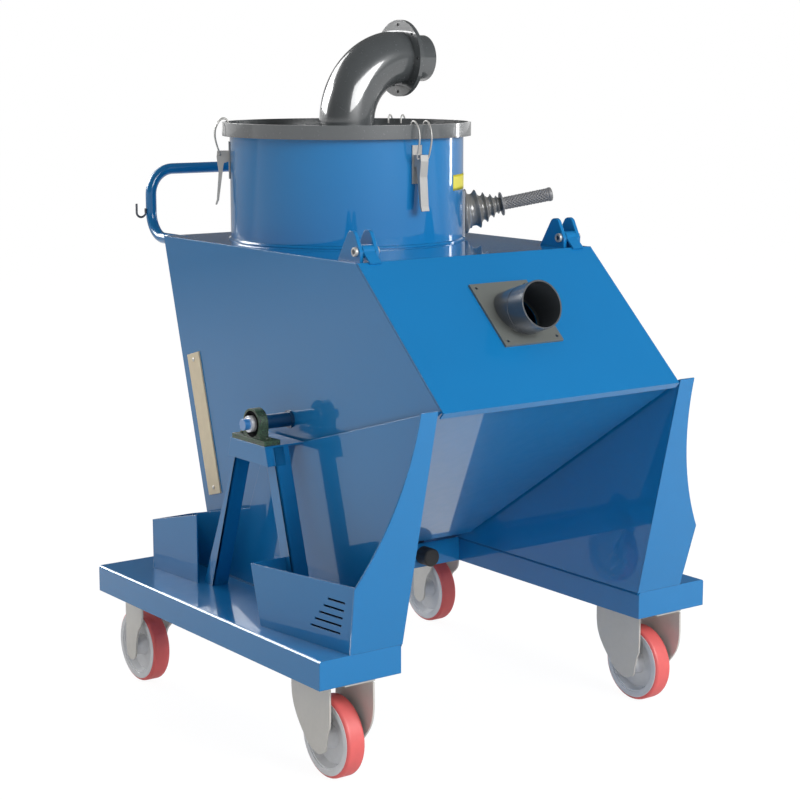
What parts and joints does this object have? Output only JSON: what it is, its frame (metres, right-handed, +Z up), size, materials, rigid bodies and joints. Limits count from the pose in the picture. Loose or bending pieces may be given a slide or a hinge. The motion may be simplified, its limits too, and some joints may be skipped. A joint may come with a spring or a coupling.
{
  "type": "cyclone separator",
  "caption": "Mobile cyclone pre-separator: a round drum with an outlet elbow on a tipping dust hopper, front inlet flap and push handle, carried by a wheeled side-frame chassis.",
  "frame": {"origin": "middle of the bounding box on the floor that the wheels stand on", "axes": "+Z up, -Y towards the inlet flap and the mouth that tips out, +X towards the outlet"},
  "size_m": [1.226, 1.4238, 1.7985],
  "materials": {
    "blue_paint": "gloss",
    "green_casting": "satin",
    "black_rubber": "matt",
    "zinc_steel": "satin",
    "white_plastic": "satin",
    "red_tyre": "satin",
    "bright_steel": "satin",
    "grey_plastic": "gloss",
    "dark_steel": "satin",
    "cream_plastic": "satin",
    "grey_paint": "satin",
    "grey_rubber": "matt",
    "grip_plastic": "satin"
  },
  "bodies": {
    "chassis": {"left_tray": "blue_paint", "right_tray": "blue_paint", "cross_beam": "blue_paint", "rest_pads": "black_rubber", "buffers": "black_rubber", "left_side_panel": "blue_paint", "right_side_panel": "blue_paint", "left_front_post": "blue_paint", "right_front_post": "blue_paint", "left_front_pocket": "blue_paint", "right_front_pocket": "blue_paint", "left_rear_pocket": "blue_paint", "right_rear_pocket": "blue_paint", "left_bearing_stand": "blue_paint", "right_bearing_stand": "blue_paint", "left_pillow_block": "green_casting", "right_pillow_block": "green_casting", "front_left_fork": "zinc_steel", "front_right_fork": "zinc_steel", "rear_left_fork": "zinc_steel", "rear_right_fork": "zinc_steel"},
    "front_left_wheel": {"front_left_rim": "white_plastic", "front_left_tyre": "red_tyre"},
    "front_right_wheel": {"front_right_rim": "white_plastic", "front_right_tyre": "red_tyre"},
    "rear_left_wheel": {"rear_left_rim": "white_plastic", "rear_left_tyre": "red_tyre"},
    "rear_right_wheel": {"rear_right_rim": "white_plastic", "rear_right_tyre": "red_tyre"},
    "hopper": {"left_trunnion": "bright_steel", "right_trunnion": "bright_steel", "hopper_left_side": "blue_paint", "hopper_right_side": "blue_paint", "hopper_slope": "blue_paint", "hopper_floor": "blue_paint", "hopper_back": "blue_paint", "hopper_top": "blue_paint", "drum": "blue_paint", "drum_lid": "grey_plastic", "outlet_foot": "grey_plastic", "outlet_elbow": "grey_plastic", "outlet_neck": "grey_plastic", "outlet_spigot": "grey_plastic", "drum_clips": "bright_steel", "clip_bails": "bright_steel", "push_handle": "blue_paint", "hose_hook": "dark_steel", "level_strip": "cream_plastic", "shaker_saddle": "grey_paint", "shaker_boot": "grey_rubber", "hinge_ears": "blue_paint"},
    "flap": {"flap": "blue_paint", "hinge_knuckles": "blue_paint", "inlet_spigot": "grey_plastic"},
    "shaker_lever": {"shaker_lever": "grip_plastic"}
  },
  "joints": [
    {"name": "front_left_wheel_spin", "type": "hinge", "parent": "chassis", "child": "front_left_wheel", "pos_m": [-0.495, -0.451, 0.1], "axis": [1, 0, 0], "continuous": true},
    {"name": "front_right_wheel_spin", "type": "hinge", "parent": "chassis", "child": "front_right_wheel", "pos_m": [0.495, -0.451, 0.1], "axis": [1, 0, 0], "continuous": true},
    {"name": "rear_left_wheel_spin", "type": "hinge", "parent": "chassis", "child": "rear_left_wheel", "pos_m": [-0.495, 0.476, 0.1], "axis": [1, 0, 0], "continuous": true},
    {"name": "rear_right_wheel_spin", "type": "hinge", "parent": "chassis", "child": "rear_right_wheel", "pos_m": [0.495, 0.476, 0.1], "axis": [1, 0, 0], "continuous": true},
    {"name": "hopper_tip", "type": "hinge", "parent": "chassis", "child": "hopper", "pos_m": [0, -0.075, 0.8], "axis": [1, 0, 0], "range_deg": [0, 70]},
    {"name": "flap_lift", "type": "hinge", "parent": "hopper", "child": "flap", "pos_m": [0, -0.34, 1.241], "axis": [-1, 0, 0], "range_deg": [0, 80]},
    {"name": "shaker_swing", "type": "hinge", "parent": "hopper", "child": "shaker_lever", "pos_m": [0.29829, 0.02578, 1.291], "axis": [0.5, 0.866, 0], "range_deg": [-8, 8], "deforming": ["shaker_boot"]}
  ]
}
